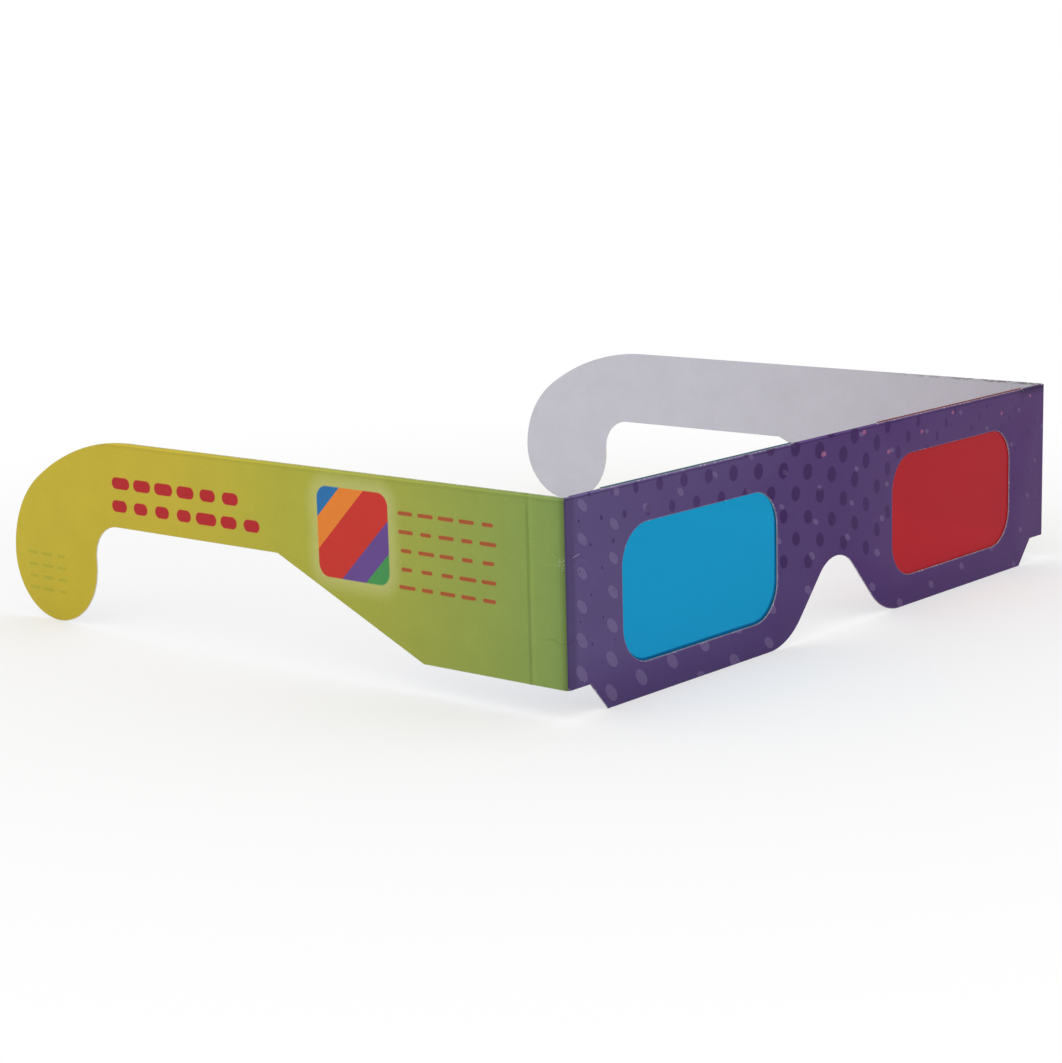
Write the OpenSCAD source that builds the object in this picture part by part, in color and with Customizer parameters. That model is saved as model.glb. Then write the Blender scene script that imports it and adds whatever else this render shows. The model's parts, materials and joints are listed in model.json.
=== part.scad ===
// Folded card viewing glasses with one cyan and one red film lens.
// The front stands on the table facing -Y, and the two temples run back along +Y.
// "Right" and "left" are the wearer's, so the right temple is at -X.
// A card length "s" below is measured along Y from the front's outer face.

/* [Front] */
// Width of the front between the outer faces of the two temples
front_w = 146; // [138:0.5:158]
// Height of the front and of the temples' roots
front_h = 34.3; // [32:0.1:40]
// Height of the lower edge of the end tabs and of the temples' roots
tab_z = 4.7; // [2:0.1:8]
// Length of the end tab's lower edge, from the corner to the notch
tab_run = 5.3; // [3:0.1:7.5]
// Distance from the corner to the foot of the notch's slope
notch_run = 9.5; // [8:0.1:10.5]

/* [Windows] */
// Width of each lens window
window_w = 41.6; // [34:0.1:44]
// Height of each lens window
window_h = 22.1; // [18:0.1:25]
// Radius of the window's corners
window_r = 6.4; // [2:0.1:9]
// Distance from the middle of the front to the middle of a window
window_x = 38.65; // [36:0.05:41]
// Height of the window's lower edge
window_z = 5.5; // [4:0.1:8]
// Distance that the back panel's lower edges sit inside the front's, and its windows higher
back_lift = 0.4; // [0:0.1:0.6]

/* [Nose notch] */
// Height of the top of the nose notch
nose_h = 13; // [10:0.1:16]
// Radius of the arch at the top of the nose notch
nose_r = 6.8; // [5:0.1:7.5]
// Distance from the middle to the point where the flare meets the lower edge
nose_half = 20.3; // [19.5:0.1:23]
// Radius of the flare at each side of the nose notch
flare_r = 12.4; // [9:0.1:13]

/* [Temples] */
// Length of a temple from the front's outer face to the end of its hook
temple_len = 131.6; // [118:0.1:145]
// Distance from the front's outer face to the second crease
crease_s = 7.4; // [5:0.1:12]
// Distance from the front's outer face to the start of the sloping lower edge
slope_start = 29.6; // [18:0.1:40]
// Distance from the front's outer face to the end of the sloping lower edge
slope_end = 61.9; // [50:0.1:75]
// Height of the blade's lower edge between the slope and the hook
blade_z = 19; // [16:0.1:23]
// Width of the hook's round lobe
hook_w = 23; // [19:0.1:25]
// Radius of the inner corner between the blade and the hook
neck_r = 6; // [3:0.1:7]
// Radius of the hook's back edge above the lobe
back_r = 17.8; // [13:0.1:19]
// Length of the end over which the top edge curves down
curve_run = 33.6; // [26:0.1:45]

/* [Card and film] */
// Thickness of the card
card_t = 0.3; // [0.25:0.01:0.5]
// Thickness of the lens film
film_t = 0.1; // [0.05:0.01:0.2]
// Thickness of the adhesive on each side of the film
glue_t = 0.03; // [0.01:0.01:0.1]
// Width of a lens film
film_w = 50.8; // [48:0.1:52]
// Height of a lens film
film_h = 31.75; // [29:0.05:32.5]
// Height of the film's edge above the slit in the top fold
film_proud = 0.2; // [0:0.05:0.5]
// Gap between the film's side edge and the end of its slit
slit_gap = 0.3; // [0.1:0.05:1]
// Margin of card left bare round each adhesive pad
glue_edge = 1.5; // [0.5:0.1:2]

/* [Creases] */
// Inner radius of the bend at the front's corners
bend_r = 0.6; // [0.6:0.05:1.5]
// Gap between the bend and the card that swings on it
bend_gap = 0.05; // [0.02:0.01:0.1]
// Distance from the bend to the end of the folded-over back panel
back_inset = 0.4; // [0.3:0.1:2]
// Width of the second crease
crease_w = 0.8; // [0.7:0.05:1.5]
// Radius of the rule that pressed the second crease
rule_r = 0.5; // [0.4:0.05:0.8]
// Depth of the second crease's groove and height of the bead behind it
rule_d = 0.1; // [0.02:0.01:0.12]

/* [Hidden] */
$fn = 96;
// Extra length of a cutting shape past the card's edge
past = 1;
// Layers of the front, from its outer face to the back panel's eye side
gap_t = film_t + 2 * glue_t;
stack_t = 2 * card_t + gap_t;
front_y = -temple_len / 2;
gap_y = front_y + card_t;
back_y = gap_y + gap_t;
// Corner bend
bend_out = bend_r + card_t;
bend_x = front_w / 2 - bend_out;
back_x = bend_x - back_inset;
// Top fold: half a round of card whose outer radius is half the layers
fold_r = stack_t / 2;
fold_in_r = fold_r - card_t;
fold_y = front_y + fold_r;
fold_z = front_h - fold_r;
// Films and their slits
film_in = window_x - film_w / 2;
film_out = window_x + film_w / 2;
slit_in = film_in - slit_gap;
slit_out = film_out + slit_gap;
film_top = front_h + film_proud;
// End notch: the angle of its slope
slope_turn = atan2(tab_z, notch_run - tab_run);
// Nose notch: the arch's centre and the points where its straight sides touch the arcs
nose_z = nose_h - nose_r;
nose_reach = norm([nose_half, flare_r - nose_z]);
nose_turn = atan2(flare_r - nose_z, nose_half) + acos((nose_r + flare_r) / nose_reach);
nose_dir = [cos(nose_turn), sin(nose_turn)];
arch_touch = [0, nose_z] + nose_r * nose_dir;
flare_touch = [nose_half, flare_r] - flare_r * nose_dir;
// Hook: the lobe, the back edge and the falling top edge touch without a corner
strip_s = bend_out + bend_gap;
blade_s = crease_s + crease_w / 2;
lobe_r = hook_w / 2;
lobe_s = temple_len - lobe_r;
neck_s = temple_len - hook_w - neck_r;
back_s = temple_len - back_r;
top_s = temple_len - curve_run;
back_rise = front_h - lobe_r;
top_r = ((back_s - top_s) ^ 2 + back_rise ^ 2 - back_r ^ 2) / (2 * (back_rise - back_r));
top_centre = [top_s, front_h - top_r];
back_centre = [back_s, lobe_r];
back_dir = (back_centre - top_centre) / norm(back_centre - top_centre);
back_touch = back_centre + back_r * back_dir;
// Colours of the printed card, its plain side, the films and the adhesive
purple = [0.33, 0.26, 0.45];
green = [0.53, 0.62, 0.31];
yellow = [0.75, 0.67, 0.24];
cyan = [0.11, 0.57, 0.76, 0.8];
red = [0.68, 0.16, 0.2, 0.8];
clear_glue = [0.86, 0.84, 0.76];

// Stands a flat outline up in the XZ plane as a sheet from y to y + t
module upright_sheet(y, t) {
    translate([0, y + t, 0])
        rotate([90, 0, 0])
            linear_extrude(t)
                children();
}

// Stands an outline of length along Y and height along Z up as the right side's card
module side_card() {
    translate([-front_w / 2, front_y, 0])
        rotate([90, 0, 90])
            linear_extrude(card_t)
                children();
}

// Turns a solid of the right side into the left side's
module on_left() {
    mirror([1, 0, 0])
        children();
}

// Rectangle between two corners
module area(low, high) {
    translate(low)
        square(high - low);
}

// The piece of a disc that bulges past the chord from p to q
module bulge(centre, r, p, q) {
    out = ((p + q) / 2 - centre) / norm((p + q) / 2 - centre);
    intersection() {
        translate(centre)
            circle(r);
        polygon([p, q, q + r * out, p + r * out]);
    }
}

module rounded_window() {
    flat_w = window_w - 2 * window_r;
    flat_h = window_h - 2 * window_r;
    square([flat_w, window_h], center = true);
    square([window_w, flat_h], center = true);
    for (x = [-flat_w / 2, flat_w / 2], z = [-flat_h / 2, flat_h / 2])
        translate([x, z])
            circle(window_r);
}

// The nose notch, wider by grow on every side
module nose_notch(grow) {
    arch = arch_touch + grow * nose_dir;
    flare = flare_touch + grow * nose_dir;
    difference() {
        union() {
            polygon([[-nose_half, -past], [nose_half, -past], [nose_half, grow], flare, arch,
                     [-arch.x, arch.y], [-flare.x, flare.y], [-nose_half, grow]]);
            translate([0, nose_z])
                circle(nose_r + grow);
        }
        for (side = [-1, 1])
            translate([side * nose_half, flare_r])
                circle(flare_r - grow);
    }
}

// Outline of the front or the back panel, whose left end is at end_x, whose left top corner has
// the given points, whose lower edges and notch are inset by lift, and whose windows sit higher by it
module panel_outline(end_x, top_corner, lift) {
    corner = front_w / 2 - lift * tan(slope_turn / 2);
    half = concat([[corner - notch_run, lift], [corner - tab_run, tab_z + lift], [end_x, tab_z + lift]],
                  top_corner,
                  [[slit_out, fold_z], [slit_out, front_h], [slit_in, front_h], [slit_in, fold_z]]);
    other_half = [for (i = [len(half) - 1 : -1 : 0]) [-half[i].x, half[i].y]];
    difference() {
        polygon(concat(half, other_half));
        nose_notch(lift);
        for (side = [-1, 1])
            translate([side * window_x, window_z + window_h / 2 + lift])
                rounded_window();
    }
}

// Half-round fold that joins the front and back panels' top edges from x0 to x1
module top_fold(x0, x1) {
    translate([x0, fold_y, fold_z])
        rotate([90, 0, 90])
            linear_extrude(x1 - x0)
                difference() {
                    circle(fold_r);
                    circle(fold_in_r);
                    area([-fold_r - past, -fold_r - past], [fold_r + past, 0]);
                }
}

module lens_film(x) {
    upright_sheet(gap_y + glue_t, film_t)
        area([x - film_w / 2, film_top - film_h], [x + film_w / 2, film_top]);
}

// Adhesive between the two panels, within the given card area
module glue_pad(low, high) {
    edge = [glue_edge, glue_edge];
    upright_sheet(gap_y, gap_t)
        area(low + edge, high - edge);
}

module end_glue_pad() {
    glue_pad([-back_x, tab_z], [-slit_out, fold_z]);
}

// Quarter-round bend from the front's end to the side card
module corner_bend() {
    translate([-bend_x, front_y + bend_out, tab_z])
        rotate([0, 0, 180])
            rotate_extrude(angle = 90)
                area([bend_r, 0], [bend_out, front_h - tab_z]);
}

module hinge_strip() {
    side_card()
        area([strip_s, tab_z], [crease_s - crease_w / 2, front_h]);
}

// Pressed line: a groove in the printed face and a bead on the plain face
module pressed_crease() {
    translate([-front_w / 2, front_y + crease_s, tab_z])
        linear_extrude(front_h - tab_z) {
            difference() {
                area([0, -crease_w / 2], [card_t, crease_w / 2]);
                translate([rule_d - rule_r, 0])
                    circle(rule_r);
            }
            intersection() {
                translate([card_t + rule_d - rule_r, 0])
                    circle(rule_r);
                area([card_t, -crease_w / 2], [card_t + rule_r, crease_w / 2]);
            }
        }
}

module temple_outline() {
    neck = [neck_s, blade_z - neck_r];
    wall_s = neck_s + neck_r;
    lobe_end = [temple_len, lobe_r];
    difference() {
        union() {
            polygon([[blade_s, tab_z], [slope_start, tab_z], [slope_end, blade_z], [neck_s, blade_z], neck,
                     [wall_s, neck.y], [wall_s, lobe_r], lobe_end, back_touch, [top_s, front_h],
                     [blade_s, front_h]]);
            translate([lobe_s, lobe_r])
                circle(lobe_r);
            bulge(back_centre, back_r, back_touch, lobe_end);
            bulge(top_centre, top_r, [top_s, front_h], back_touch);
        }
        translate(neck)
            circle(neck_r);
    }
}

module temple_card() {
    side_card()
        temple_outline();
}

module front_panel() {
    color(purple)
        upright_sheet(front_y, card_t)
            panel_outline(bend_x, [[bend_x, front_h], [back_x, front_h], [back_x, fold_z]], 0);
}

module back_panel() {
    color(purple)
        upright_sheet(back_y, card_t)
            panel_outline(back_x, [[back_x, fold_z]], back_lift);
}

module right_top_fold() {
    color(purple)
        top_fold(-back_x, -slit_out);
}

module bridge_top_fold() {
    color(purple)
        top_fold(-slit_in, slit_in);
}

module left_top_fold() {
    color(purple)
        top_fold(slit_out, back_x);
}

module right_lens() {
    color(cyan)
        lens_film(-window_x);
}

module left_lens() {
    color(red)
        lens_film(window_x);
}

module right_glue_pad() {
    color(clear_glue)
        end_glue_pad();
}

module bridge_glue_pad() {
    color(clear_glue)
        glue_pad([-slit_in, nose_h], [slit_in, fold_z]);
}

module left_glue_pad() {
    color(clear_glue)
        on_left()
            end_glue_pad();
}

module right_corner_crease() {
    color(purple)
        corner_bend();
}

module right_hinge_strip() {
    color(green)
        hinge_strip();
}

module right_temple_crease() {
    color(green)
        pressed_crease();
}

module right_temple() {
    color(yellow)
        temple_card();
}

module left_corner_crease() {
    color(purple)
        on_left()
            corner_bend();
}

module left_hinge_strip() {
    color(green)
        on_left()
            hinge_strip();
}

module left_temple_crease() {
    color(green)
        on_left()
            pressed_crease();
}

module left_temple() {
    color(yellow)
        on_left()
            temple_card();
}

front_panel();
back_panel();
right_top_fold();
bridge_top_fold();
left_top_fold();
right_lens();
left_lens();
right_glue_pad();
bridge_glue_pad();
left_glue_pad();
right_corner_crease();
right_hinge_strip();
right_temple_crease();
right_temple();
left_corner_crease();
left_hinge_strip();
left_temple_crease();
left_temple();
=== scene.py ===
# %% [markdown]
# # Folded card viewing glasses
# The real object is one die-cut blank of card, printed on one side. A flap of the blank is folded
# down behind the front to hold two strips of coloured film, and the ends are bent back as temples.
# The packed nodes already have the true sizes, so they are loaded as a fixed frame. The lesson
# then gives each piece the rolled edges, the round bends, the inks and the wear of real card.

# %% Load the frame
import json
import math

import bmesh
import bpy
from mathutils import Matrix, Vector

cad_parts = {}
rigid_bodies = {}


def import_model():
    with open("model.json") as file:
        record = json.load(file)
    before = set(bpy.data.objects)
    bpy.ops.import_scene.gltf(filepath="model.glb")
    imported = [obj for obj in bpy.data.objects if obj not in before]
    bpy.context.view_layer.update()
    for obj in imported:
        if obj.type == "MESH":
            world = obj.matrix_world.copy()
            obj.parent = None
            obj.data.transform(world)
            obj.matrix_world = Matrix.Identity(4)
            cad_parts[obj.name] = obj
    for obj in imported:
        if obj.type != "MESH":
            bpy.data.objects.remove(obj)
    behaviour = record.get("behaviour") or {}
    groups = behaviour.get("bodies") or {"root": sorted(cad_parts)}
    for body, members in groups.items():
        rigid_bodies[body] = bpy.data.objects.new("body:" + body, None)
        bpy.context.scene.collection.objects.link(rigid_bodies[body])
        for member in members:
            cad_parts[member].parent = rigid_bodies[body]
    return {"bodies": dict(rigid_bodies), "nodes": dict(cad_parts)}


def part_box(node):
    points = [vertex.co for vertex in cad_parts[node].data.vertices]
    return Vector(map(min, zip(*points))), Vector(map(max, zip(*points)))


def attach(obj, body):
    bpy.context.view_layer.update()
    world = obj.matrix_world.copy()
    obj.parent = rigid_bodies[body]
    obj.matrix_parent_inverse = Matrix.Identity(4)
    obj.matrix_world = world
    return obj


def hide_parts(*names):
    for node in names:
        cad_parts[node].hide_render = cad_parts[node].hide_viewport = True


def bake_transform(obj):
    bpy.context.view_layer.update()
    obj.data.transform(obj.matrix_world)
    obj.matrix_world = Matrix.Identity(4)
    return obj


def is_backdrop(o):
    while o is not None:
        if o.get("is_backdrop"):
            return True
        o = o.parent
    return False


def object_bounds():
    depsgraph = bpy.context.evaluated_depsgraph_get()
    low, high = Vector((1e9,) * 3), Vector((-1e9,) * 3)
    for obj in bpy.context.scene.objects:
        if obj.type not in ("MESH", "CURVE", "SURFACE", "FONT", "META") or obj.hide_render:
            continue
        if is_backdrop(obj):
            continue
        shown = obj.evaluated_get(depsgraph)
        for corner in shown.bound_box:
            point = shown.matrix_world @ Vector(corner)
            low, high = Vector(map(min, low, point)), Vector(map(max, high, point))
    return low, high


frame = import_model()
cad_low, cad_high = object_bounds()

nodes = frame["nodes"]
print("loaded", len(nodes), "nodes on", len(frame["bodies"]), "bodies")

# %% [markdown]
# ## Measures
# Card work is thin: the board is 0.3 mm and its bends are about a millimetre round. None of that
# is typed in again here. The boxes of the nodes give the card's thickness, the two bends and the
# top fold, so the dressed pieces still fit if the source of the part changes.

# %% Read the sizes from the nodes
MM = 0.001
SIDES = {"right": -1, "left": 1}

front_low, front_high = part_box("front_panel")
front_y = front_low.y
card = front_high.y - front_low.y
half_width = cad_high.x
bend_x = front_high.x
bend_out = half_width - bend_x
bend_in = bend_out - card
tab_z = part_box("right_hinge_strip")[0].z
card_top = front_high.z
strip_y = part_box("right_hinge_strip")[0].y
fold_low, fold_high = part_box("bridge_top_fold")
fold_z = fold_low.z
fold_r = (fold_high.y - fold_low.y) / 2
fold_y = fold_low.y + fold_r
measured = {"card": card, "bend": bend_out, "fold": fold_r}
print("in mm:", {name: round(size / MM, 3) for name, size in measured.items()})

# %% [markdown]
# ## Camera
# The photograph was taken from the wearer's right, a little above the card, with a long lens.
# A camera can be aimed with a constraint, but a matrix says it plainly: three axes and a place.
# The angles and the distance come from fitting the card's straight edges to the picture.

# %% Place the camera
PHOTO_W, PHOTO_H = 1062, 1063
FOCAL_PX = 2409
VIEW_TURN = math.radians(-49.47)
VIEW_HEIGHT = math.radians(11.0)
VIEW_ROLL = math.radians(-1.46)
VIEW_DISTANCE = 350.6 * MM
AIM = Vector((-80.75 * MM, front_y, 30.51 * MM))

backward = Vector((
    math.sin(VIEW_TURN) * math.cos(VIEW_HEIGHT),
    -math.cos(VIEW_TURN) * math.cos(VIEW_HEIGHT),
    math.sin(VIEW_HEIGHT),
))
level = (-backward).cross(Vector((0, 0, 1))).normalized()
upward = level.cross(-backward)
across = math.cos(VIEW_ROLL) * level + math.sin(VIEW_ROLL) * upward
upright = math.cos(VIEW_ROLL) * upward - math.sin(VIEW_ROLL) * level

camera = bpy.data.objects.new("camera", bpy.data.cameras.new("camera"))
bpy.context.scene.collection.objects.link(camera)
camera.matrix_world = Matrix.Translation(AIM + VIEW_DISTANCE * backward) @ Matrix(
    (across, upright, backward)
).transposed().to_4x4()
camera.data.lens = camera.data.sensor_width * FOCAL_PX / max(PHOTO_W, PHOTO_H)
camera.data.clip_start = 0.01
bpy.context.scene.camera = camera
bpy.context.scene.view_settings.view_transform = "Standard"
camera_place = [round(x, 4) for x in camera.matrix_world.translation]
print("camera at", camera_place, "lens", round(camera.data.lens, 2))

# %% [markdown]
# ## Sums on surfaces
# A print or a scuff is a sum over the surface: how far is this point from the nearest dot, and how
# dark is it there. Such a sum could be wired by hand, node by node. A small class that wraps a
# socket lets Python write it as an expression instead, and each operator adds its own node.

# %% Wrap a socket
class Field:
    """A value on a surface: a socket of a node tree that takes part in expressions."""

    def __init__(self, tree, socket=None):
        self.tree = tree
        self.socket = socket

    def node(self, kind, settings=None, sockets=None, out=0):
        """Adds a node with its settings first, then a value or a link for each socket."""
        made = self.tree.nodes.new(kind)
        for name, value in (settings or {}).items():
            if name == "stops":
                set_stops(made.color_ramp, value)
            else:
                setattr(made, name, value)
        for key, value in (sockets or {}).items():
            if isinstance(value, Field):
                self.tree.links.new(value.socket, made.inputs[key])
            else:
                made.inputs[key].default_value = value
        return Field(self.tree, made.outputs[out] if made.outputs else None)

    def math(self, operation, *others):
        sockets = dict(enumerate((self, *others)))
        return self.node("ShaderNodeMath", {"operation": operation}, sockets)

    def math_after(self, operation, first):
        return self.node("ShaderNodeMath", {"operation": operation}, {0: first, 1: self})

    def __add__(self, other):
        return self.math("ADD", other)

    def __radd__(self, other):
        return self.math("ADD", other)

    def __sub__(self, other):
        return self.math("SUBTRACT", other)

    def __rsub__(self, other):
        return self.math_after("SUBTRACT", other)

    def __mul__(self, other):
        return self.math("MULTIPLY", other)

    def __rmul__(self, other):
        return self.math("MULTIPLY", other)

    def __truediv__(self, other):
        return self.math("DIVIDE", other)

    def __rtruediv__(self, other):
        return self.math_after("DIVIDE", other)

    def __abs__(self):
        return self.math("ABSOLUTE")

    def __round__(self):
        return self.math("ROUND")


def set_stops(colour_ramp, stops):
    """Gives a colour ramp its stops, each a position and a colour. A new ramp has two already."""
    for position, _ in stops[2:]:
        colour_ramp.elements.new(position)
    for element, (position, colour) in zip(colour_ramp.elements, stops):
        element.position = position
        element.color = colour


print("operators:", sum(name.startswith("__") for name in vars(Field)))

# %% [markdown]
# ## Words for inks
# Inks are easiest to name as they look on a screen, from 0 to 255, while shaders add light. One
# helper turns the first into the second. The others are the words that every finish below uses:
# a soft step, a mix of two colours, a ramp of colours, a mottle of noise and the length of a line.

# %% Helpers for finishes
def ink(red, green, blue):
    """A screen colour as the light that a shader wants."""
    light = []
    for level in (red / 255, green / 255, blue / 255):
        light.append(level / 12.92 if level <= 0.04045 else ((level + 0.055) / 1.055) ** 2.4)
    return (*light, 1.0)


def grey(level):
    return (level, level, level, 1.0)


def step(value, low, high):
    """0 before low, 1 after high, and soft between. It falls where low is the larger one."""
    settings = {"interpolation_type": "SMOOTHSTEP"}
    sockets = {"Value": value, "From Min": low, "From Max": high}
    return value.node("ShaderNodeMapRange", settings, sockets)


def blend_inks(share, under, over):
    """Under where share is 0, over where it is 1."""
    return share.node("ShaderNodeMix", {"data_type": "RGBA"}, {0: share, 6: under, 7: over}, out=2)


def scale_ink(colour, factor):
    """The same ink, lighter or darker."""
    return factor.node("ShaderNodeVectorMath", {"operation": "SCALE"}, {0: colour, "Scale": factor})


def ramp(value, low, high, stops, interpolation="LINEAR"):
    """A colour for each value from low to high. The stops' places are in the value's own units."""
    placed = [((place - low) / (high - low), colour) for place, colour in stops]
    made = value.node("ShaderNodeValToRGB", {"stops": placed}, {0: (value - low) / (high - low)})
    made.socket.node.color_ramp.interpolation = interpolation
    return made


def mottle(place, scale, detail=2.0):
    """Soft noise from 0 to 1 with the given number of cells to a unit."""
    sockets = {"Vector": place, "Scale": scale, "Detail": detail, "Roughness": 0.6}
    return place.node("ShaderNodeTexNoise", None, sockets)


def length(a, b):
    return (a * a + b * b).math("SQRT")


def new_finish(name):
    finish = bpy.data.materials.new(name)
    finish.use_nodes = True
    finish.node_tree.nodes.clear()
    return finish, Field(finish.node_tree)


def give_surface(start, shader):
    start.node("ShaderNodeOutputMaterial", None, {"Surface": shader})


print("purple ink as light:", [round(x, 3) for x in ink(81, 61, 106)[:3]])

# %% [markdown]
# ## Floor, backdrop and light
# The card stands on a white sweep under soft light. A plain white plane would go grey towards the
# horizon, so the floor turns into a white glow away from the card, seen only by the camera, by
# reflections and through the films. Near the card it stays a floor that takes the shadow.

# %% Make the floor
FLOOR_SIZE = 6.0
GLOW_FROM, GLOW_TO = 0.09, 0.24
SHADOW_SHARE = 0.55


def seen_directly(start):
    """1 for rays from the camera, in a reflection or through the film, and 0 for light."""
    paths = [start.node("ShaderNodeLightPath", None, None, out) for out in (
        "Is Camera Ray", "Is Glossy Ray", "Is Transmission Ray")]
    return (paths[0] + paths[1] + paths[2]).math("MINIMUM", 1.0)


def floor_finish():
    finish, start = new_finish("white_sweep")
    place = start.node("ShaderNodeTexCoord", None, None, "Object")
    spread = place.node("ShaderNodeVectorMath", {"operation": "LENGTH"}, {0: place}, "Value")
    paper = start.node("ShaderNodeBsdfDiffuse", None, {"Color": grey(0.93)})
    glow = start.node("ShaderNodeEmission", None, {"Color": grey(1.0), "Strength": 1.0})
    share = (1 - SHADOW_SHARE) + SHADOW_SHARE * step(spread, GLOW_FROM, GLOW_TO)
    share = share * seen_directly(start)
    give_surface(start, start.node("ShaderNodeMixShader", None, {0: share, 1: paper, 2: glow}))
    return finish


sweep = bmesh.new()
bmesh.ops.create_grid(sweep, x_segments=2, y_segments=2, size=FLOOR_SIZE / 2)
floor_mesh = bpy.data.meshes.new("floor")
sweep.to_mesh(floor_mesh)
sweep.free()
floor = bpy.data.objects.new("floor", floor_mesh)
floor.data.materials.append(floor_finish())
bpy.context.scene.collection.objects.link(floor)
floor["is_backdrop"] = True
print("floor", FLOOR_SIZE, "m wide")

# %% [markdown]
# A white room lights every side alike, which is kind to flat print but hides the bends. So the
# world gives part of the light, and one large soft lamp from the upper left gives the rest. It
# lights the near temple a little more than the front, as in the photograph.

# %% Light the card
WORLD_LEVEL = 0.95
KEY_WATTS = 0.5
KEY_SIZE = 0.7
KEY_PLACE = Vector((-0.75, -0.35, 0.75))

world = bpy.data.worlds.new("white_room")
world.use_nodes = True
world.node_tree.nodes.clear()
room = Field(world.node_tree)
sight = seen_directly(room)
lit = room.node("ShaderNodeBackground", None, {"Color": grey(1.0), "Strength": WORLD_LEVEL})
shown = room.node("ShaderNodeBackground", None, {"Color": grey(1.0), "Strength": 1.0})
backdrop = room.node("ShaderNodeMixShader", None, {0: sight, 1: lit, 2: shown})
room.node("ShaderNodeOutputWorld", None, {"Surface": backdrop})
bpy.context.scene.world = world

key = bpy.data.objects.new("key_lamp", bpy.data.lights.new("key_lamp", "AREA"))
key.data.energy = KEY_WATTS
key.data.size = KEY_SIZE
key_turn = KEY_PLACE.to_track_quat("Z", "Y").to_matrix().to_4x4()
key.matrix_world = Matrix.Translation(KEY_PLACE) @ key_turn
bpy.context.scene.collection.objects.link(key)
print("world", WORLD_LEVEL, "and one lamp of", KEY_WATTS, "W")

# %% [markdown]
# ## The sheet's own map
# The blank is printed flat and folded later, so the ink should follow the flat sheet. Each card
# piece gets a UV map named sheet, in millimetres: across from the middle of the front, out past
# the corners along each temple, and up from the table. One print then runs on round the bends.

# %% Flatten a point onto the blank
def flat_front(point):
    return point.x / MM, point.z / MM


def flat_side(sign):
    """The map of a side card: the distance along it is added to the front's half width."""
    def place(point):
        return sign * (half_width + point.y - front_y) / MM, point.z / MM
    return place


def flat_bend(sign):
    """The map of a corner bend: the turn from the front to the side becomes a distance."""
    def place(point):
        out_x = max(sign * point.x - bend_x, 0.0)
        out_y = max(front_y + bend_out - point.y, 0.0)
        turn = math.atan2(out_x, out_y) / (math.pi / 2)
        run = max(point.y - front_y - bend_out, 0.0)
        return sign * (bend_x + turn * 2 * bend_out + run) / MM, point.z / MM
    return place


print("half the blank is", round((half_width + cad_high.y - front_y) / MM, 1), "mm long")

# %% [markdown]
# ## Print on the front
# The front is a dull violet that warms towards the wearer's left, and painted light makes it paler
# at the right end. Dark dots lie in curved rows and swell towards the middle, with lighter leaning
# lozenges, largest at the right end, and a few pink pips. Rounding a point to the nearest crossing
# of a grid gives every dot at once, with no texture, and bending the point's coordinates first
# makes the rows of a straight grid come out curved.

# %% Bend a grid
PRINT_END = half_width / MM


def nearest_crossing(u, v, first, second, origin):
    """Offsets from the nearest crossing of a slanted grid, and the height of that crossing."""
    cell = first[0] * second[1] - first[1] * second[0]
    du = u - origin[0]
    dv = v - origin[1]
    i = round((du * second[1] - dv * second[0]) / cell)
    j = round((dv * first[0] - du * first[1]) / cell)
    centre_u = i * first[0] + j * second[0]
    centre_v = i * first[1] + j * second[1]
    return du - centre_u, dv - centre_v, centre_v + origin[1]


def sheet_place(start):
    """The flat sheet's coordinates in millimetres, as a vector and as two values."""
    place = start.node("ShaderNodeUVMap", {"uv_map": "sheet"})
    axes = [place.node("ShaderNodeSeparateXYZ", None, {0: place}, out) for out in ("X", "Y")]
    return place, *axes


def swell(u, sizes):
    """A size that changes along the front, from 0 to 1."""
    return ramp(u, -PRINT_END, PRINT_END, [(at, grey(size)) for at, size in sizes])


def cubic(u, first, second, third):
    """A smooth curve along the front that is 0 in its middle."""
    return u * (first + u * (second + third * u))


print("front inks run from", -PRINT_END, "to", PRINT_END, "mm")

# %% [markdown]
# The dots are widest over the nose and shrink to both ends and downwards. Their rows drop to the
# left, and the low rows are sheared along with them. Each list below gives a share at some places
# along the front, and the ramp fills in what lies between.

# %% Draw the dark dots
DOT_STEP = (3.65, 3.85)
DOT_ORIGIN = (2.05, 29.6)
DOT_RADIUS = 1.48
DOT_SPREAD = (1.009, 0.00055, 0.000031)
DOT_DROP = (0.247, 0.0037, 0.0000233)
DOT_DROP_MIDDLE = 6.45
DOT_TOP, DOT_FOOT = 33, 19
DOT_UPRIGHT = (17, 29)
DOT_WIDE = [
    (-72, 0.18), (-64, 0.29), (-56, 0.58), (-48, 0.71), (-30, 0.84), (-10, 0.97), (0, 0.95),
    (10, 0.8), (28, 0.47), (42, 0.28), (63, 0.18)]
DOT_TALL = [
    (-72, 0.17), (-64, 0.27), (-56, 0.6), (-48, 0.73), (-37, 0.78), (-30, 0.88), (-10, 0.97),
    (9, 1.0), (19, 0.88), (28, 0.7), (42, 0.46), (63, 0.4)]
DOT_SHRINK = [(-73, 0.2), (-67, 0.3), (-60, 0.7), (-50, 0.6), (-30, 0.2), (0, 0.15)]
DOT_LOWEST = [(-45, 0.24), (-30, 0.37)]


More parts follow.
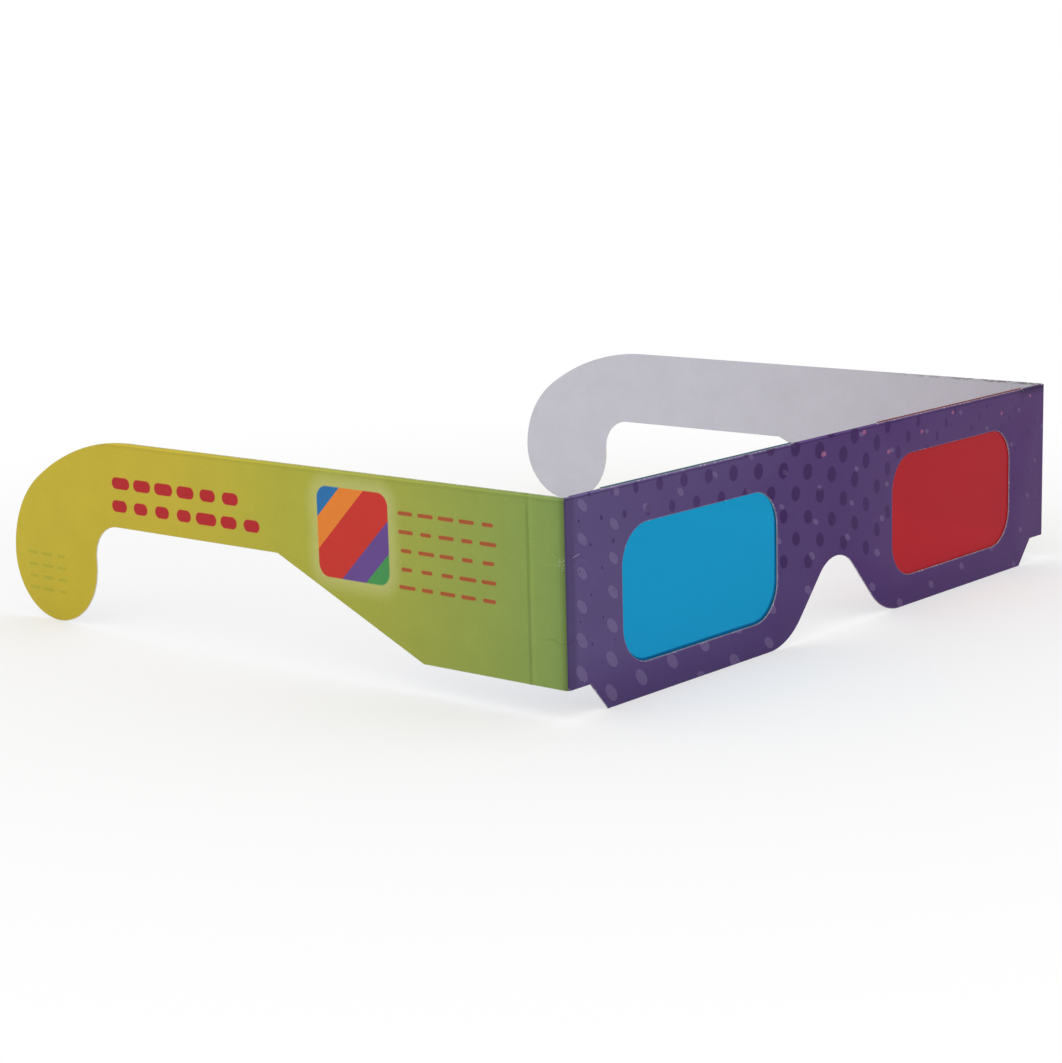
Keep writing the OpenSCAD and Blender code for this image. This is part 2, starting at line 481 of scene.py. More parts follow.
def dark_dots(u, v):
    """1 on a dot and 0 beside it."""
    spread = cubic(u, *DOT_SPREAD)
    drop = DOT_DROP_MIDDLE + cubic(u, *DOT_DROP)
    next_left = (-DOT_STEP[0], DOT_STEP[1])
    du, dv, at_v = nearest_crossing(spread, v + drop, DOT_STEP, next_left, DOT_ORIGIN)
    at_v = at_v - drop
    slope = 0.25 + 0.007 * u
    dv = dv - du * slope * step(at_v, *DOT_UPRIGHT)
    wide = swell(u, DOT_WIDE)
    tall = swell(u, DOT_TALL)
    shrunk = 1 - swell(u, DOT_SHRINK) * step(at_v, DOT_TOP, DOT_FOOT)
    lowest = swell(u, DOT_LOWEST) * DOT_TOP
    size = DOT_RADIUS * shrunk * step(at_v - lowest, -0.4, 0.4)
    return step(length(du / wide, dv / tall) / size.math("MAXIMUM", 0.01), 1.1, 0.92)


print("dots of up to", 2 * DOT_RADIUS, "mm")

# %% [markdown]
# The lozenges stand in columns. From the right end the columns open up over a run of 50 mm, then
# stay apart, and fan out and climb to the left. The pips lie on a coarser grid, and only its
# highest crossings are printed.

# %% Draw the lozenges and the pips
LOZENGE_STEP = (7.3, 5.15)
LOZENGE_FROM, LOZENGE_FOOT = -69.4, 6.8
LOZENGE_HALF = (1.97, 0.88)
LOZENGE_LEAN = math.radians(47)
LOZENGE_FAN = (0.035, 0.0028)
FAN_HEIGHT = 17
OPENING_RUN = 50.0
OPENING, OPENED = 0.0029, 0.68
COLUMN_CLIMB = (0.75, 0.045)
COLUMN_STRETCH = 0.0017
LOZENGE_LOW = [
    (-73, 1.0), (-58, 1.0), (-46, 0.88), (-30, 0.84), (-20, 0.66), (-8, 0.6), (20, 0.52),
    (70, 0.33)]
LOZENGE_HIGH = [
    (-73, 0.74), (-62, 0.7), (-45, 0.5), (-36, 0.37), (-8, 0.33), (13, 0.29), (70, 0.28)]
LOZENGE_HEIGHTS = (0, 28)

PIP_STEPS = ((10.8, 2.1), (3.4, 6.6))
PIP_ORIGIN = (7.5, 33.3)
PIP_SPREAD = (0.84, 0.004, -0.000029)
PIP_LOWEST = (28.55, 28.75)
PIP_FROM = (-8, -6)


def lean_lozenges(u, v):
    """Pale leaning ellipses, large at the lower right end and small at the other end."""
    run = u - LOZENGE_FROM
    run = run - (LOZENGE_FAN[0] + LOZENGE_FAN[1] * run) * (v - FAN_HEIGHT)
    close = run.math("MINIMUM", OPENING_RUN)
    spread = close - OPENING * close * close + OPENED * (run - close)
    column = spread / LOZENGE_STEP[0]
    climb = column * (COLUMN_CLIMB[0] + COLUMN_CLIMB[1] * column)
    rise = (v - LOZENGE_FOOT - climb) / (1 + COLUMN_STRETCH * run)
    du, dv, _ = nearest_crossing(spread, rise, (LOZENGE_STEP[0], 0), (0, LOZENGE_STEP[1]), (0, 0))
    along = du * math.cos(LOZENGE_LEAN) - dv * math.sin(LOZENGE_LEAN)
    beside = du * math.sin(LOZENGE_LEAN) + dv * math.cos(LOZENGE_LEAN)
    low = swell(u, LOZENGE_LOW)
    high = swell(u, LOZENGE_HIGH)
    size = low + (high - low) * step(v - dv, *LOZENGE_HEIGHTS)
    return step(length(along / LOZENGE_HALF[0], beside / LOZENGE_HALF[1]) / size, 1.08, 0.92)


def pink_pips(u, v):
    """Small flat pips near the top, from the nose to the left end."""
    du, dv, at_v = nearest_crossing(cubic(u, *PIP_SPREAD), v, *PIP_STEPS, PIP_ORIGIN)
    size = 0.58 - 0.003 * u
    pips = step(length(du, dv * 1.35) / size, 1.15, 0.85)
    return pips * step(at_v, *PIP_LOWEST) * step(u, *PIP_FROM)


print("lozenges every", LOZENGE_STEP, "mm at the right end")

# %% [markdown]
# Under the figures lies the violet ground, with painted light laid on it: paler towards the
# wearer's right end, darker towards the foot, painted shade in the line that the fold pressed and
# over the top of the fold, and a painted highlight on its crest. It is also darker at and under the
# fold at the left end. The figures are then laid over it, and where a lozenge crosses a dot less of
# it shows.

# %% Mix the front's inks
DARK_BELOW_FOLD_FROM = (61.5, 64.5)
FOOT_SHADE = (11, 1)
# How strong the painted highlight on the fold's crest is along the front.
FOLD_HIGHLIGHT = [(-73, 0.55), (-10, 0.5), (25, 0.35), (50, 0.05), (73, 0.0)]
DOT_SHARE = [
    (-72, 0.0), (-71.5, 0.7), (-50, 0.6), (-37, 0.62), (-24, 0.85), (-5, 0.95), (9, 0.85),
    (20, 0.68), (40, 0.55)]
LOZENGE_SHARE = [(20, 0.25), (60, 0.18)]
PIP_SHARE = 0.6


def fold_shade(u, v):
    """How the ink changes at the top fold: painted shade in the pressed line and over the top, a
    painted highlight on the crest, and darker at and under the fold at the left end.
    """
    rise = (v - fold_z / MM) / (fold_r / MM)
    # Painted shade in the crease at the foot of the fold, and a painted highlight on its crest.
    crease_shade = step(abs(rise + 0.1), 0.5, 0.15)
    crest = step(abs(rise - 0.6), 0.45, 0.15)
    crest_highlight = swell(u, FOLD_HIGHLIGHT)
    # Painted shade where the fold turns over the top, and a darker band at the left end.
    fold_top_shade = step(rise, 0.9, 1.0)
    dark_below_fold = step(u, *DARK_BELOW_FOLD_FROM) * step(rise, -4.5, -0.6)
    return 1 - 0.34 * crease_shade + crest_highlight * crest - 0.25 * fold_top_shade - 0.32 * dark_below_fold


def violet(u, v):
    """The ground colour of the front and of the flap behind it, with painted light laid on it."""
    # The ramp is the print's tone with painted light in it: paler at the wearer's right end,
    # towards the lamp, and darkest over the nose.
    ground = ramp(u, -PRINT_END, PRINT_END, [
        (-73, ink(91, 77, 122)), (-40, ink(86, 69, 117)), (0, ink(78, 53, 107)),
        (30, ink(83, 58, 109)), (73, ink(84, 58, 107))])
    # Painted shade: darker towards the foot of the front.
    foot_shade_share = step(v, *FOOT_SHADE) * (0.3 - 0.003 * u)
    ground = blend_inks(foot_shade_share, ground, ink(65, 43, 96))
    return scale_ink(ground, fold_shade(u, v))


def front_inks(u, v):
    dots = dark_dots(u, v)
    colour = blend_inks(dots * swell(u, DOT_SHARE), violet(u, v), ink(60, 34, 86))
    pale_share = swell(u, LOZENGE_SHARE) * (1 - 0.4 * dots)
    colour = blend_inks(lean_lozenges(u, v) * pale_share, colour, ink(147, 130, 168))
    return blend_inks(pink_pips(u, v) * PIP_SHARE, colour, ink(176, 98, 138))


print("figures on the front: dots, lozenges and pips")

# %% [markdown]
# ## Print on the temples
# Past the corners the ink is a green that ripens to ochre at the ear. The right side carries a
# small badge and some rows of dashes. They are drawn from distances: a rounded square filled with
# slanted bars, and rows of round-ended strokes whose lengths come from a seeded noise.

# %% Mix the temples' inks
BADGE_AT = (44.2, 23.9)
BADGE_HALF = (7.9, 7.5)
BADGE_CORNER = 2.2
BADGE_GLOW = 3.4
BAR_REACH = 11

# Each row of strokes has a start, a count, a height, a pitch and half a thickness.
SMALL_ROWS = [(13.2, 5, height, 4.3, 0.32) for height in (28.6, 25.6, 22.6, 19.6, 16.7)]
BOLD_ROWS = [(70.0, 6, 27.0, 5.6, 1.05), (65.0, 7, 22.9, 5.6, 1.05)]
FAINT_ROWS = [(116.5, 3, height, 4.0, 0.3) for height in (12.0, 9.8, 7.6, 5.4)]

temple_length = (cad_high.y - front_y) / MM
crease_low, crease_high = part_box("right_temple_crease")
crease_at = ((crease_low.y + crease_high.y) / 2 - front_y) / MM


def ripening(s):
    """The green that turns to ochre along a side."""
    # The first stops, darker within three millimetres of the corner, are painted shade where the
    # bend turns away from the light.
    return ramp(s, 0, temple_length, [
        (0, ink(121, 143, 78)), (3, ink(130, 153, 82)), (10, ink(138, 157, 80)),
        (30, ink(156, 164, 74)), (56, ink(172, 171, 66)), (75, ink(186, 174, 62)),
        (90, ink(194, 175, 60)), (131, ink(195, 176, 56))])


def badge_edge(s, v):
    """Distance from the rim of the badge, less than 0 inside it."""
    out_s = abs(s - BADGE_AT[0]) - (BADGE_HALF[0] - BADGE_CORNER)
    out_v = abs(v - BADGE_AT[1]) - (BADGE_HALF[1] - BADGE_CORNER)
    corner = length(out_s.math("MAXIMUM", 0.0), out_v.math("MAXIMUM", 0.0))
    return corner + out_s.math("MAXIMUM", out_v).math("MINIMUM", 0.0) - BADGE_CORNER


def badge_bars(s, v):
    """Slanted bars of five inks."""
    slant = (s - BADGE_AT[0] + v - BADGE_AT[1]) * math.sqrt(0.5)
    return ramp(slant, -BAR_REACH, BAR_REACH, [
        (-BAR_REACH, ink(74, 146, 84)), (-7.2, ink(104, 76, 142)), (-3.4, ink(198, 58, 50)),
        (3.4, ink(226, 130, 54)), (7.2, ink(48, 112, 168))], "CONSTANT")


def stroke_row(s, v, low, count, row, pitch, thick):
    """A row of round-ended strokes of uneven length, as many as count."""
    cell = ((s - low) / pitch).math("FLOOR")
    uneven = cell.node("ShaderNodeTexWhiteNoise", {"noise_dimensions": "1D"}, {"W": cell + row})
    half = pitch * (0.22 + 0.16 * uneven) - thick / 2
    beside = (abs(s - low - (cell + 0.5) * pitch) - half).math("MAXIMUM", 0.0)
    inside = step(abs(cell + 0.5 - count / 2), count / 2, count / 2 - 0.1)
    return step(length(beside, v - row), thick + 0.1, thick - 0.1) * inside


def all_rows(s, v, rows):
    """Rows of strokes added up."""
    strokes = stroke_row(s, v, *rows[0])
    for row in rows[1:]:
        strokes = strokes + stroke_row(s, v, *row)
    return strokes


def right_side_art(s, v, colour):
    """The badge with a pale glow round it, and the rows of strokes."""
    rim = badge_edge(s, v)
    colour = blend_inks(step(rim, BADGE_GLOW, -0.4) * 0.4, colour, ink(206, 206, 146))
    colour = blend_inks(step(rim, 0.12, -0.12), colour, badge_bars(s, v))
    colour = blend_inks(all_rows(s, v, SMALL_ROWS) * 0.8, colour, ink(170, 48, 46))
    colour = blend_inks(all_rows(s, v, BOLD_ROWS), colour, ink(178, 45, 48))
    return blend_inks(all_rows(s, v, FAINT_ROWS) * 0.5, colour, ink(160, 160, 52))


def ripe_side(u, v):
    """How far along its side a point is, and the ink there, with painted shade in the crease, a
    painted highlight beside it and on the rolled top edge, and painted shade just under that edge.
    """
    s = abs(u) - PRINT_END
    drop = card_top / MM - v
    # Painted shade in the second crease, and a painted highlight beside it.
    crease_shade = step(abs(s - crease_at), 0.4, 0.1) * step(drop, 0.6, 3.5)
    crease_highlight = step(abs(s - crease_at + 0.8), 0.5, 0.1)
    # Painted highlight on the rolled top edge, and painted shade just under it.
    lip_highlight = step(abs(drop - 0.36), 0.2, 0.06)
    under_lip_shade = step(abs(drop - 0.8), 0.4, 0.1)
    shade = 1 - 0.16 * crease_shade + 0.05 * crease_highlight + 0.2 * lip_highlight - 0.07 * under_lip_shade
    return s, scale_ink(ripening(s), shade)


def right_inks(u, v):
    s, colour = ripe_side(u, v)
    return right_side_art(s, v, colour)


def left_inks(u, v):
    return ripe_side(u, v)[1]


print("temple print is", round(temple_length, 1), "mm long")

# %% [markdown]
# ## Card finishes
# Four faces make a piece of card: the printed side, the plain side, the fibrous core at a cut edge,
# and the thin rim where the cutting rule rolled the print over. All but the core share one shader,
# with a fine tooth. The print wears first at the bends, where scratches show the fibres under it,
# and painted shade darkens the bends, with painted light and shade on two wrinkles beside them.

# %% Wear the print and paint shade at the bends
FIBRE = ink(214, 210, 214)
TOOTH_DEPTH = 0.02 * MM
PRINTS_MEET = (PRINT_END + 0.02, PRINT_END + 0.12)
KNOCK_HIGH = (0.7, 24.2)
KNOCK_LOW = (0.6, 12.0)
HAIR_HIGH, HAIR_LOW = 23.8, 12.2
BEND_MIDDLE = 19.5
BEND_ENDS = (14.0, 14.7)
STREAK_AT = (2.4, 25.1)
STREAK_SLOPE = 0.23


def card_shader(start, place, colour, roughness, relief):
    """Card with a fine tooth: the mottle moves the colour, the gloss and the surface a little."""
    tooth = mottle(place, 2.6, 3.0)
    cloud = mottle(place, 0.16)
    shaded = scale_ink(colour, 1 + (tooth - 0.5) * 0.22 + (cloud - 0.5) * 0.12)
    normal = tooth.node("ShaderNodeBump", None, {
        "Strength": relief, "Distance": TOOTH_DEPTH, "Height": tooth})
    return start.node("ShaderNodeBsdfPrincipled", None, {
        "Base Color": shaded, "Roughness": roughness + (tooth - 0.5) * 0.2, "Normal": normal,
        "Specular IOR Level": 0.06})


def grain(place, lean, width):
    """The sheet's coordinates drawn out, so that noise on them runs in streaks at an angle."""
    settings = {"vector_type": "TEXTURE"}
    sockets = {"Vector": place, "Rotation": (0, 0, lean), "Scale": (1.0, width, 1.0)}
    return place.node("ShaderNodeMapping", settings, sockets)


def knocks(place, u, v):
    """Scratches through the ink: two knocks beside each bend, its two ends and one loose streak."""
    out = abs(u) - PRINT_END
    scratch = step(mottle(grain(place, math.radians(40), 0.3), 1.5, 2.0), 0.55, 0.65)
    upper = 0.75 * step(length(out - KNOCK_HIGH[0], (v - KNOCK_HIGH[1]) * 0.55), 0.8, 0.3)
    lower = 0.5 * step(length(out - KNOCK_LOW[0], (v - KNOCK_LOW[1]) * 0.6), 0.7, 0.3)
    ends = 0.6 * step(abs(v - BEND_MIDDLE), *BEND_ENDS) * step(abs(out), 0.7, 0.2)
    along = u + PRINT_END - STREAK_AT[0]
    across_streak = v - STREAK_AT[1] - STREAK_SLOPE * along
    streak = step(abs(across_streak), 0.11, 0.03) * step(abs(along), 1.0, 0.8)
    streak = streak * step(mottle(place, 4.0), 0.42, 0.54)
    return ((upper + lower + ends) * scratch + 0.4 * streak).math("MINIMUM", 0.8)


def bend_wear(place, u, v, colour):
    """Painted shade along the corner bends and their crest, scratches through the ink, and painted
    light and shade on two wrinkles.
    """
    out = abs(u) - PRINT_END
    on_side = step(abs(u), *PRINTS_MEET)
    # Painted shade where the bends turn away from the light: on the side, on the front beside the
    # near corner, and on the crest.
    on_front = (1 - on_side) * step(out, -2.7, -1.4) * step(u, 1, -1)
    crest = step(abs(out), 0.45, 0.1)
    bend_shade = 0.3 * on_side * step(out, 1.7, 0.1) + 0.23 * on_front + 0.14 * crest
    colour = blend_inks(knocks(place, u, v), scale_ink(colour, 1 - bend_shade), FIBRE)
    # Painted light and shade on two wrinkles: a light line high up and a dark line low down.
    waver = (mottle(place, 0.3) - 0.5) * 3
    wrinkle_highlight = step(abs(v + waver - HAIR_HIGH), 0.22, 0.04)
    wrinkle_shade = step(abs(v + waver - HAIR_LOW), 0.28, 0.05)
    return scale_ink(colour, 1 + 0.1 * (wrinkle_highlight - wrinkle_shade) * step(abs(out), 6.4, 4.0))


print("prints meet", PRINTS_MEET[0], "mm from the middle")

# %% [markdown]
# The rims lose their ink as well, so the same inks are used there with white fibres breaking out.
# In the windows little light reaches the film's side of the cut, and what does is dyed by the film,
# so there the core darkens to the film's colour. The inner side of the temples is bare board.

# %% Make the four faces of card
SOOT_FROM, SOOT_TO = 115, 85
WINDOW_FOOT = (4.2 * MM, 4.7 * MM)


def printed(name, inks, is_rim=False):
    """A printed face, worn at the bends. On a rim, fibres break out of the ink here and there."""
    finish, start = new_finish(name)
    place, u, v = sheet_place(start)
    colour = inks(u, v)
    if inks is not violet:
        colour = bend_wear(place, u, v, colour)
    if is_rim:
        fray = step(mottle(place, 1.8, 4.0), 0.54, 0.68)
        colour = blend_inks(0.14 + 0.66 * fray, colour, FIBRE)
    give_surface(start, card_shader(start, place, colour, 0.5, 0.25))
    return finish


def plain_side():
    """The unprinted side: pale grey board with a few flecks, and soot along the top edge."""
    finish, start = new_finish("plain_card")
    place, u, v = sheet_place(start)
    flecks = step(mottle(place, 1.7, 4.0), 0.66, 0.74)
    colour = blend_inks(flecks * 0.12, ink(202, 200, 208), ink(140, 136, 150))
    by_edge = step(v, card_top / MM - 0.55, card_top / MM - 0.3) * step(abs(u), SOOT_FROM, SOOT_TO)
    soot = step(mottle(grain(place, 0.0, 0.3), 0.7, 4.0), 0.43, 0.54) * by_edge
    colour = blend_inks(soot * 0.7, colour, ink(104, 94, 92))
    give_surface(start, card_shader(start, place, colour, 0.7, 0.4))
    return finish


def window_place(place):
    """Whether a cut edge lies round a window, whether round the left one, and how deep."""
    x, y, z = [place.node("ShaderNodeSeparateXYZ", None, {0: place}, axis) for axis in "XYZ"]
    film_low, film_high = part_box("left_lens")
    middle = (film_low.x + film_high.x) / 2
    half = film_high.x - middle
    by_window = step(abs(abs(x) - middle), half, half - 0.5 * MM) * step(z, *WINDOW_FOOT)
    return by_window, by_window * step(x, -MM, MM), (y - front_y) / card


def cut_core(name, is_front=False):
    """The cut edge: pulp fibres in pale grey. Round the windows it gets painted light: a pink cast
    from the red film, and painted shade, tinted by each film, towards the film.
    """
    finish, start = new_finish(name)
    place = start.node("ShaderNodeTexCoord", None, None, "Object")
    fibres = mottle(place, 900.0, 4.0)
    colour = ramp(fibres, 0, 1, [(0.3, ink(200, 197, 200)), (0.6, ink(236, 234, 234))])
    if is_front:
        by_window, by_red, depth = window_place(place)
        # Painted light: a pink cast from the red film, and painted shade, tinted by each film,
        # deeper towards the film.
        colour = blend_inks(0.5 * by_red, colour, ink(236, 160, 158))
        shade = blend_inks(by_red, ink(26, 60, 80), ink(106, 24, 30))
        colour = blend_inks(0.9 * by_window * step(depth, 0.48, 0.76), colour, shade)
    give_surface(start, start.node("ShaderNodeBsdfPrincipled", None, {
        "Base Color": colour, "Roughness": 0.85, "Specular IOR Level": 0.1}))
    return finish


def bend_inks(side_inks):
    """The two prints meet on the crest of the corner bend."""
    def mixed(u, v):
        on_side = step(abs(u), *PRINTS_MEET)
        return blend_inks(on_side, front_inks(u, v), side_inks(u, v))
    return mixed


plain_card = plain_side()
card_core = cut_core("card_core")
front_core = cut_core("front_core", True)
PRINTS = {
    "front": front_inks, "flap": violet, "right": right_inks, "left": left_inks,
    "right_bend": bend_inks(right_inks), "left_bend": bend_inks(left_inks)}
FACES = {}
for name, inks in PRINTS.items():
    core = front_core if name == "front" else card_core
    FACES[name] = [
        printed(name + "_print", inks), plain_card, core, printed(name + "_rim", inks, True)]
PRINT, PLAIN, CORE, RIM = range(4)
print("card finishes:", [faces[PRINT].name for faces in FACES.values()])

# %% [markdown]
# ## Flat card with a rolled rim
# The cutting rule presses the board as it cuts, so the printed side rolls over by about a tenth of
# a millimetre and the light catches it. Each flat piece starts as a copy of its node. The copy is
# welded and its flat faces joined, and the free edges of the printed side get a small bevel.
# Edges where the card runs on into a bend or a fold stay square, or a gap would show there.

# %% Make card pieces
ROLL = 0.12 * MM
WELD = 0.002 * MM
FLAT = math.radians(0.5)
SHARP = math.radians(24)
FACING = 0.3


def make_piece(name, shape, faces, flatten):
    """Turns a bmesh into a piece with its sheet map, its four faces and soft round stretches."""
    sheet = shape.loops.layers.uv.new("sheet")
    for face in shape.faces:
        face.smooth = True
        for loop in face.loops:
            loop[sheet].uv = flatten(loop.vert.co)
    for edge in shape.edges:
        edge.smooth = edge.calc_face_angle(math.pi) < SHARP
    mesh = bpy.data.meshes.new(name)
    shape.to_mesh(mesh)
    shape.free()
    if "custom_normal" in mesh.attributes:
        mesh.attributes.remove(mesh.attributes["custom_normal"])
    for finish in faces:
        mesh.materials.append(finish)
    piece = bpy.data.objects.new(name, mesh)
    bpy.context.scene.collection.objects.link(piece)
    return piece


def welded_copy(node):
    shape = bmesh.new()
    shape.from_mesh(nodes[node].data)
    bmesh.ops.remove_doubles(shape, verts=shape.verts, dist=WELD)
    bmesh.ops.dissolve_limit(shape, angle_limit=FLAT, verts=shape.verts, edges=shape.edges)
    return shape


def sort_faces(shape, outward):
    """Print on the faces that look outward, plain board behind, and core round the edge."""
    for face in shape.faces:
        facing = face.normal.dot(outward(face.calc_center_median()))
        face.material_index = PRINT if facing > FACING else PLAIN if facing < -FACING else CORE


def flat_card(node, body, faces, outward, flatten, is_seam):
    """A flat piece of card in place of its node."""
    shape = welded_copy(node)
    sort_faces(shape, lambda centre: outward)
    rim = []
    for edge in shape.edges:
        kinds = sorted(face.material_index for face in edge.link_faces)
        if kinds == [PRINT, CORE] and not is_seam((edge.verts[0].co + edge.verts[1].co) / 2):
            rim.append(edge)
    rolled = bmesh.ops.bevel(
        shape, geom=rim, offset=ROLL, offset_type="OFFSET", segments=3, profile=0.5,
        affect="EDGES", material=-1, clamp_overlap=True)
    for face in rolled["faces"]:
        face.material_index = RIM
    piece = make_piece("card_" + node, shape, FACES[faces], flatten)
    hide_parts(node)
    "temple_print" if faces in SIDES else "front_print"
    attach(piece, body)
    print(piece.name, len(piece.data.polygons), "faces,", len(rim), "rim edges")
    return piece


def near(a, b):
    return abs(a - b) < 0.01 * MM


def panel_seam(point):
    """The ends that run on into the corner bends and the top that runs on into the fold."""
    return near(abs(point.x), bend_x) or near(point.z, fold_z)


flat_card("front_panel", "front", "front", Vector((0, -1, 0)), flat_front, panel_seam)
flat_card("back_panel", "front", "flap", Vector((0, 1, 0)), flat_front, panel_seam)

# %% [markdown]
# The side cards are made the same way. A strip a few millimetres wide lies between the corner bend
# and the second crease, and the temple starts behind that. Their seams are the upright edges.

# %% Make the side cards
for side, sign in SIDES.items():
    strip_low, strip_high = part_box(side + "_hinge_strip")
    temple_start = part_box(side + "_temple")[0].y
    seams = (strip_low.y, strip_high.y, temple_start)

    def side_seam(point, seams=seams):
        return any(near(point.y, seam) for seam in seams)

    outward = Vector((sign, 0, 0))
    flat_card(side + "_hinge_strip", side + "_strip", side, outward, flat_side(sign), side_seam)
    flat_card(side + "_temple", side + "_temple", side, outward, flat_side(sign), side_seam)

# %% [markdown]
# ## Corner bends
# At the corners the board is bent round a radius of about its own thickness. One upright slice of
# the card, with its rolled rims, is spun a quarter turn about the hinge line, and then drawn out a
# hair to meet the strip. Bent card stretches as the temple folds.

# %% Spin the corner bends
BEND_STEPS = 24


def corner_bend(side, sign):
    hinge = Vector((sign * bend_x, front_y + bend_out, 0))
    shape = bmesh.new()
    corners = [(bend_in, tab_z), (bend_out, tab_z), (bend_out, card_top), (bend_in, card_top)]
    slice_verts = [shape.verts.new((hinge.x, hinge.y - r, z)) for r, z in corners]
    shape.faces.new(slice_verts)
    bmesh.ops.bevel(
        shape, geom=slice_verts[1:3], offset=ROLL, offset_type="OFFSET", segments=3, profile=0.5,
        affect="VERTICES", material=-1)
    spun = bmesh.ops.spin(
        shape, geom=shape.verts[:] + shape.edges[:] + shape.faces[:], cent=hinge, axis=(0, 0, 1),
        angle=sign * math.pi / 2, steps=BEND_STEPS)
    last = [item for item in spun["geom_last"] if isinstance(item, bmesh.types.BMFace)]
    drawn = bmesh.ops.extrude_face_region(shape, geom=last)
    drawn_verts = [item for item in drawn["geom"] if isinstance(item, bmesh.types.BMVert)]
    bmesh.ops.translate(shape, verts=drawn_verts, vec=(0, strip_y - hinge.y, 0))
    bmesh.ops.delete(shape, geom=last, context="FACES_ONLY")
    bmesh.ops.remove_doubles(shape, verts=shape.verts, dist=WELD)
    bmesh.ops.recalc_face_normals(shape, faces=shape.faces)

    def outward(centre):
        flat = Vector((centre.x - hinge.x, min(centre.y - hinge.y, 0.0), 0))
        return flat.normalized()

    sort_faces(shape, outward)
    for face in shape.faces:
        centre = face.calc_center_median()
        is_rolled = face.material_index == PRINT and abs(face.normal.z) > 0.1
        if is_rolled or near(centre.x, hinge.x) or near(centre.y, strip_y):
            face.material_index = RIM
    name = "card_" + side + "_corner_bend"
    return make_piece(name, shape, FACES[side + "_bend"], flat_bend(sign))


for side, sign in SIDES.items():
    bend = corner_bend(side, sign)
    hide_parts(side + "_corner_crease")
    middle_z = (tab_z + card_top) / 2
    side + "_strip"
    sign * bend_x
    front_y + bend_out - bend_in
    sign * (bend_x + bend_in)
    front_y + bend_out
    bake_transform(bend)
    print(bend.name, len(bend.data.polygons), "faces")

# %% [markdown]
# ## Second creases
# A blunt rule pressed a groove into the printed side behind each corner, with a bead behind it, so
# that the temple folds flat. The node has that section already, and its copy is welded.

# %% Dress the second creases
for side, sign in SIDES.items():
    node = side + "_temple_crease"
    low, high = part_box(node)
    shape = welded_copy(node)
    sort_faces(shape, lambda centre, sign=sign: Vector((sign, 0, 0)))
    crease = make_piece("card_" + node, shape, FACES[side], flat_side(sign))
    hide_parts(node)
    middle = (low + high) / 2
    side + "_strip"
    side + "_temple"
    middle.x
    low.y
    middle.z
    middle.x
    high.y
    middle.z
    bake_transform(crease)
    print(crease.name, len(crease.data.polygons), "faces")

# %% [markdown]
# ## Top fold
# The flap turns over along the top in three runs, between the slits that the films stand in. A
# flat bar of card as long as the run is spun half a turn about the middle of the stack.

# %% Spin the top folds
FOLD_STEPS = 14


def top_fold(node):
    low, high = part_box(node)
    shape = bmesh.new()
    bar = [(low.x, 0), (high.x, 0), (high.x, card), (low.x, card)]
    shape.faces.new([shape.verts.new((x, low.y + run, fold_z)) for x, run in bar])
    bmesh.ops.spin(
        shape, geom=shape.verts[:] + shape.edges[:] + shape.faces[:], cent=(0, fold_y, fold_z),
        axis=(1, 0, 0), angle=-math.pi, steps=FOLD_STEPS)
    bmesh.ops.remove_doubles(shape, verts=shape.verts, dist=WELD)
    bmesh.ops.recalc_face_normals(shape, faces=shape.faces)
    sort_faces(shape, lambda centre: Vector((0, centre.y - fold_y, centre.z - fold_z)).normalized())
    for face in shape.faces:
        if abs(face.normal.x) > 0.9:
            face.material_index = RIM
    return make_piece("card_" + node, shape, FACES["front"], flat_front)


for node in ("right_top_fold", "bridge_top_fold", "left_top_fold"):
    fold = top_fold(node)
    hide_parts(node)
    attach(fold, "front")
    print(fold.name, len(fold.data.polygons), "faces")

# %% [markdown]
# ## Films
# The lenses are dyed plastic film, a tenth of a millimetre thick. Glass with refraction would throw
# a dark shadow, so the film lets light straight through with a tint, once at each face, and a
# share of glossy body keeps the deep colour that the dye has. The red dye is the denser one.

# %% Dye the films
FILM_EDGE = 0.1 * MM


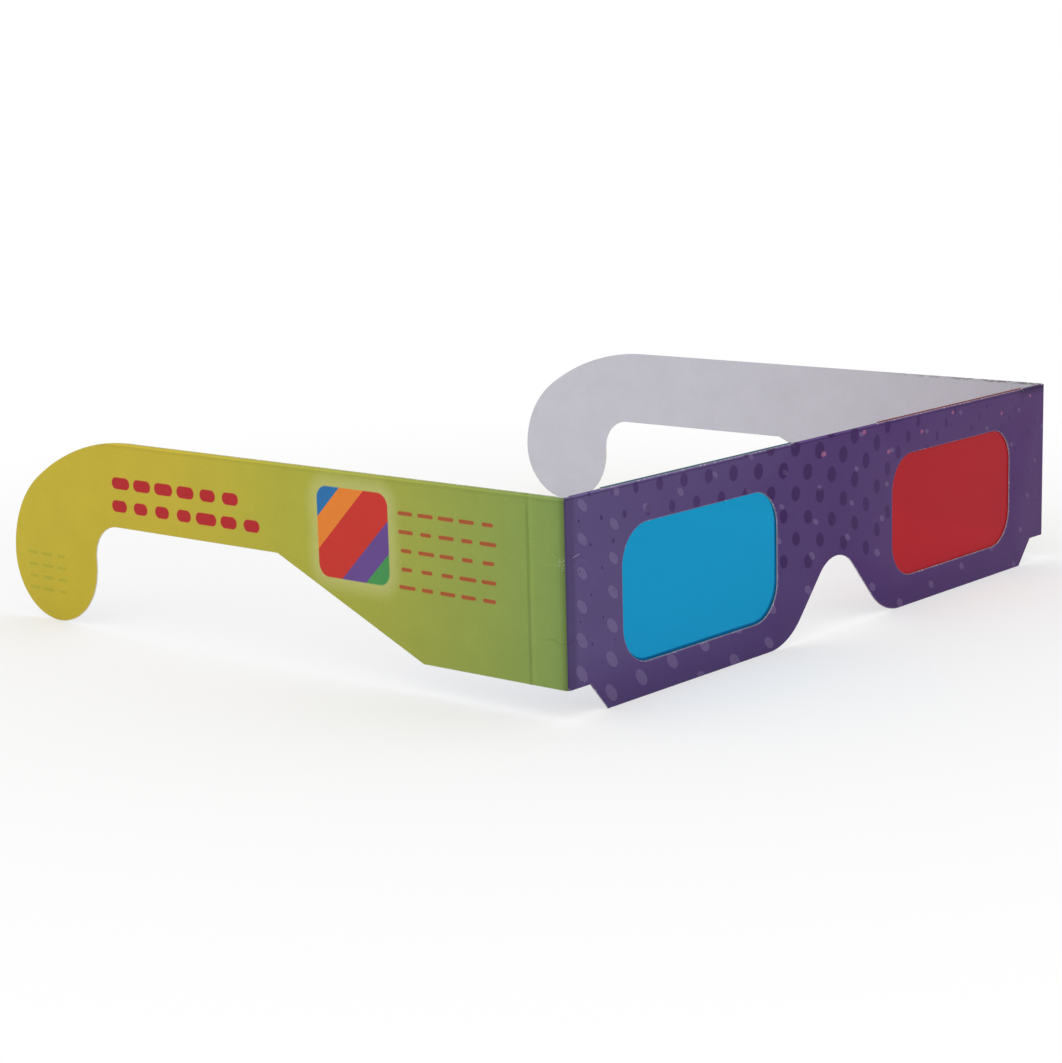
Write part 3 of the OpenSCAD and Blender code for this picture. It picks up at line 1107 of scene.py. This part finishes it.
def film(name, through, body, edge, body_share):
    """Dyed film: what it lets through, its own colour, the painted-shade colour of its top edge and
    how much of it is body.
    """
    finish, start = new_finish(name)
    place = start.node("ShaderNodeTexCoord", None, None, "Object")
    height = place.node("ShaderNodeSeparateXYZ", None, {0: place}, "Z")
    wave = mottle(place, 60.0)
    # Painted shade: the film's top edge is darker and nearly opaque.
    shaded_top_edge = step(height, card_top - FILM_EDGE, card_top)
    tint = tuple(math.sqrt(x) for x in through)
    veil = start.node("ShaderNodeBsdfTransparent", None, {"Color": tint})
    body_ink = blend_inks(shaded_top_edge, body, edge)
    skin = start.node("ShaderNodeBsdfPrincipled", None, {
        "Base Color": scale_ink(body_ink, 1.03 - 0.06 * wave), "Roughness": 0.18 + 0.06 * wave,
        "Specular IOR Level": 0.06})
    share = (body_share + 0.02 * wave).math("MAXIMUM", 0.9 * shaded_top_edge)
    give_surface(start, start.node("ShaderNodeMixShader", None, {0: share, 1: veil, 2: skin}))
    return finish


# The third colour of each film is painted shade for its top edge.
films = {
    "right_lens": film(
        "cyan_film", (0.012, 0.38, 0.66, 1.0), ink(28, 146, 195), ink(92, 122, 138), 0.22),
    "left_lens": film(
        "red_film", (0.74, 0.01, 0.02, 1.0), ink(188, 36, 48), ink(140, 80, 84), 0.72),
}
for node, finish in films.items():
    nodes[node].data.materials.clear()
    nodes[node].data.materials.append(finish)
    print(node, "gets", finish.name)

# %% [markdown]
# ## Adhesive
# Dried paste shows only as a thin line between the layers at the ends and over the nose.

# %% Dress the adhesive
def dried_paste():
    finish, start = new_finish("dried_paste")
    place = start.node("ShaderNodeTexCoord", None, None, "Object")
    paste_inks = [(0.35, ink(206, 200, 180)), (0.65, ink(226, 221, 204))]
    colour = ramp(mottle(place, 400.0), 0, 1, paste_inks)
    give_surface(start, start.node("ShaderNodeBsdfPrincipled", None, {
        "Base Color": colour, "Roughness": 0.6}))
    return finish


paste = dried_paste()
pads = ("right_glue_pad", "bridge_glue_pad", "left_glue_pad")
for node in pads:
    nodes[node].data.materials.clear()
    nodes[node].data.materials.append(paste)
print("adhesive on", len(pads), "pads")

# %% [markdown]
# ## The dressed box
# Dressing the card must not change its size, so the box of the dressed pieces is printed.

# %% Print the dressed box
dressed_low, dressed_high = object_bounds()
({
    "cad": [list(cad_low), list(cad_high)],
    "visual": [list(dressed_low), list(dressed_high)],
})
print("dressed box", [round(x / MM, 2) for x in dressed_high - dressed_low], "mm")
